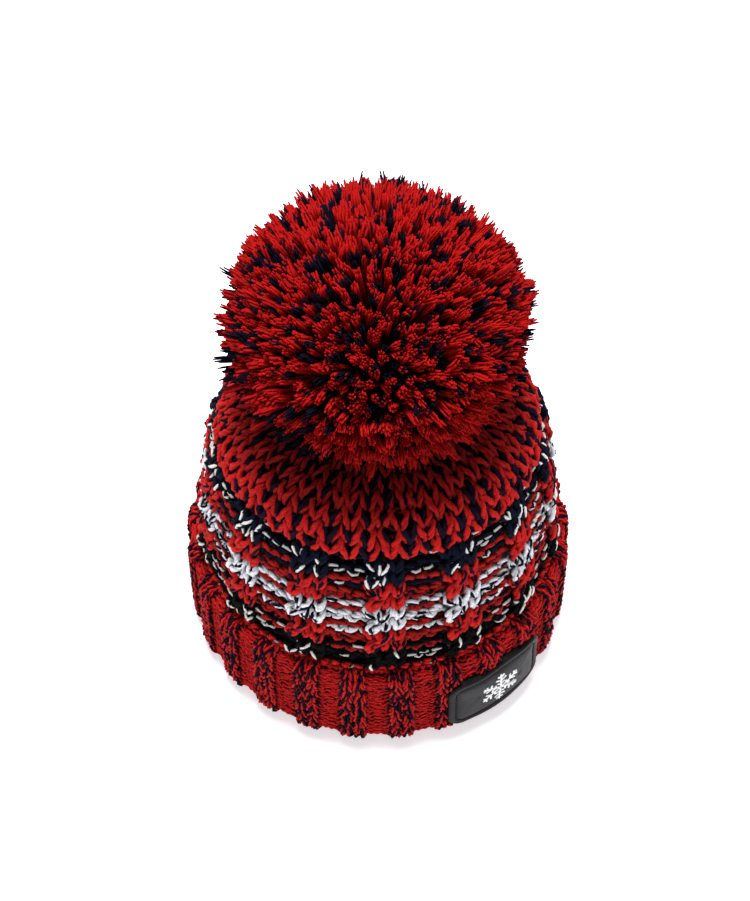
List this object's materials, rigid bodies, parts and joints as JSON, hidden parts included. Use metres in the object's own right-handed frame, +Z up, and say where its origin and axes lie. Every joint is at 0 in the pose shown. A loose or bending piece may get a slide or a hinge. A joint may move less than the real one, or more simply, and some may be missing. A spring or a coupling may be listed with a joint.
{
  "type": "pom pom beanie",
  "caption": "Cable-knit winter beanie in red, navy, white and black bands with a turned-up rib cuff, a front patch, a fleece lining and a large tied yarn pom that tilts and twists on its cord.",
  "frame": {"origin": "on the table under the middle of the hat, at the foot of the folded cuff", "axes": "+Z up through the crown and the pom, -Y to the front where the patch is, +X to the right seen from the front"},
  "size_m": [0.168, 0.1701, 0.2405],
  "materials": {
    "red_yarn": "soft matt acrylic yarn, plied",
    "red_navy_rib_yarn": "red and navy strands knitted together in a rib",
    "red_navy_crown_yarn": "red and navy strands knitted together",
    "navy_yarn": "soft matt acrylic yarn with white flecks",
    "black_yarn": "soft matt acrylic yarn with white flecks",
    "white_yarn": "soft matt acrylic yarn with navy flecks",
    "pom_yarn": "cut plied yarn, red with about a fifth navy",
    "charcoal_fleece": "brushed fleece",
    "black_thread": "polyester sewing thread",
    "white_thread": "polyester sewing thread",
    "black_faux_leather": "semi-gloss embossed faux leather",
    "white_print": "matt rubber print",
    "satin": "woven satin ribbon"
  },
  "bodies": {
    "hat": {"rib_cuff": "red_navy_rib_yarn", "base_red_band": "red_yarn", "black_stripe": "black_yarn", "lower_red_band": "red_yarn", "white_stripe": "white_yarn", "upper_red_band": "red_yarn", "navy_stripe": "navy_yarn", "crown_knit": "red_navy_crown_yarn", "crown_drawstring": "red_yarn", "back_seam_yarn": "red_yarn", "lining_gore_right": "charcoal_fleece", "lining_gore_back": "charcoal_fleece", "lining_gore_left": "charcoal_fleece", "lining_gore_front": "charcoal_fleece", "lining_seam_thread": "black_thread", "lining_hem_thread": "black_thread", "patch_base": "black_faux_leather", "patch_stitching": "black_thread", "patch_emblem": "white_print", "care_tag_stitches": "white_thread", "pom_anchor_cord": "red_yarn", "anchor_knot": "red_yarn"},
    "care_tag": {"care_tag": "satin"},
    "base_knot": {"pom_base_knot": "red_yarn"},
    "tie": {"pom_tie_tails": "red_yarn"},
    "pom": {"pom_yarn_bundle": "pom_yarn", "pom_tie_band": "red_yarn"}
  },
  "joints": [
    {"name": "pom_nod", "type": "hinge", "parent": "hat", "child": "base_knot", "pos_m": [0, 0, 0.1493], "axis": [1, 0, 0], "range_deg": [-12, 12], "stiffness_Nm_per_rad": 0.3},
    {"name": "pom_sway", "type": "hinge", "parent": "base_knot", "child": "tie", "pos_m": [0, 0, 0.1493], "axis": [0, 1, 0], "range_deg": [-12, 12], "stiffness_Nm_per_rad": 0.3},
    {"name": "pom_twist", "type": "hinge", "parent": "tie", "child": "pom", "pos_m": [0, 0, 0.1493], "axis": [0, 0, 1], "range_deg": [-30, 30], "stiffness_Nm_per_rad": 0.02},
    {"name": "care_tag_swing", "type": "hinge", "parent": "hat", "child": "care_tag", "pos_m": [0, 0.06545, 0.054], "axis": [-1, 0, 0], "range_deg": [0, 80]}
  ]
}
